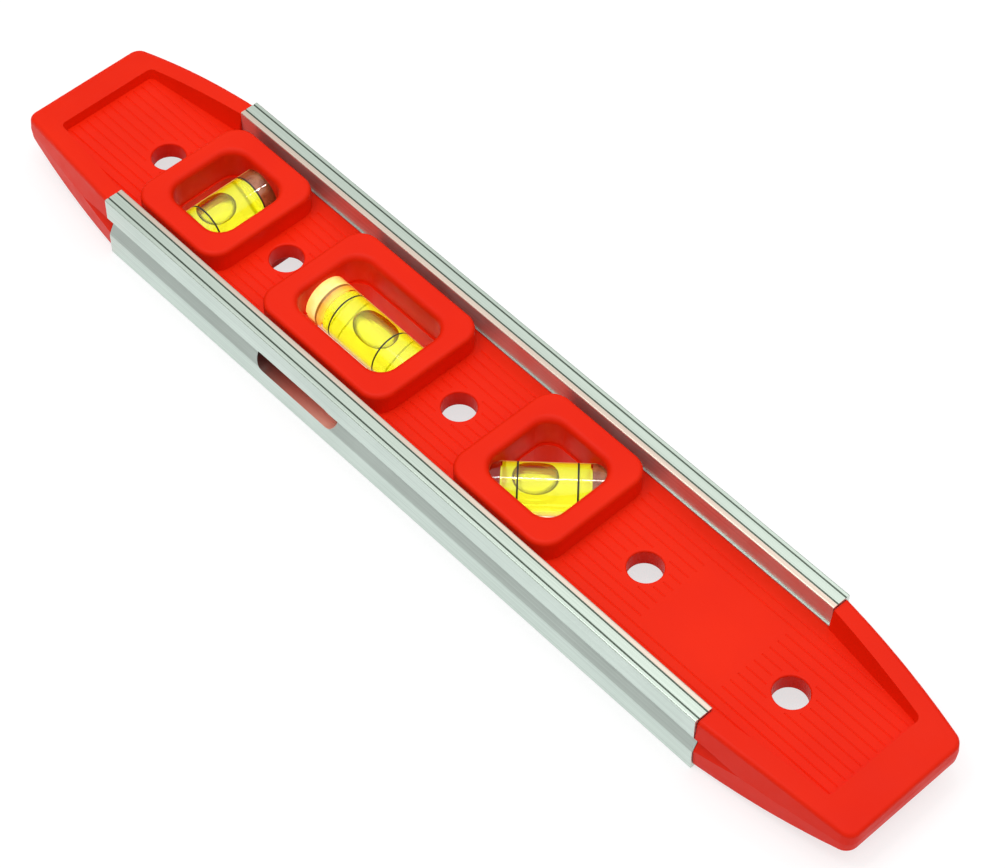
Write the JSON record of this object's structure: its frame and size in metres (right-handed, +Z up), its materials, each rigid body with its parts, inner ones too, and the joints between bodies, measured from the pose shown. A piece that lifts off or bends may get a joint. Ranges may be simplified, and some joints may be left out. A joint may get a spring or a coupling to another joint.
{
  "type": "pocket spirit level",
  "caption": "Short torpedo-shaped spirit level: red moulded body with tapered ends, aluminium edge rails, and level, plumb and 45-degree vials with yellow liquid.",
  "frame": {"origin": "middle of the footprint, on the table the level lies on", "axes": "+X along the level towards its long bare end, +Y towards the measuring edge, +Z up out of the front face"},
  "size_m": [0.23, 0.0392, 0.0156],
  "materials": {
    "red_plastic": "satin moulded red plastic with soft edges",
    "aluminium_rail": "fine-drawn bright extrusion with lines along its length",
    "clear_tube": "clear acrylic",
    "clear_plug": "clear acrylic",
    "yellow_liquid": "bright yellow liquid",
    "air_bubble": "air in the liquid",
    "black_ring": "black"
  },
  "bodies": {
    "level_frame": {"front_shell": "red_plastic", "back_shell": "red_plastic", "top_edge_rail": "aluminium_rail", "measuring_edge_rail": "aluminium_rail", "level_vial_tube": "clear_tube", "level_vial_plug": "clear_plug", "level_vial_fluid": "yellow_liquid", "level_marker_ring_blind_side": "black_ring", "level_marker_ring_plug_side": "black_ring", "plumb_vial_tube": "clear_tube", "plumb_vial_plug": "clear_plug", "plumb_vial_fluid": "yellow_liquid", "plumb_marker_ring_blind_side": "black_ring", "plumb_marker_ring_plug_side": "black_ring", "diagonal_vial_tube": "clear_tube", "diagonal_vial_plug": "clear_plug", "diagonal_vial_fluid": "yellow_liquid", "diagonal_marker_ring_blind_side": "black_ring", "diagonal_marker_ring_plug_side": "black_ring"},
    "level_bubble": {"level_vial_bubble": "air_bubble"},
    "plumb_bubble": {"plumb_vial_bubble": "air_bubble"},
    "diagonal_bubble": {"diagonal_vial_bubble": "air_bubble"}
  },
  "joints": [
    {"name": "level_bubble_travel", "type": "slide", "parent": "level_frame", "child": "level_bubble", "axis": [1, 0, 0], "range_m": [-0.0048, 0.0048]},
    {"name": "plumb_bubble_travel", "type": "slide", "parent": "level_frame", "child": "plumb_bubble", "axis": [0, 1, 0], "range_m": [-0.0019, 0.0038]},
    {"name": "diagonal_bubble_travel", "type": "slide", "parent": "level_frame", "child": "diagonal_bubble", "axis": [0.7071, 0.7071, 0], "range_m": [-0.0015, 0.0055]}
  ]
}
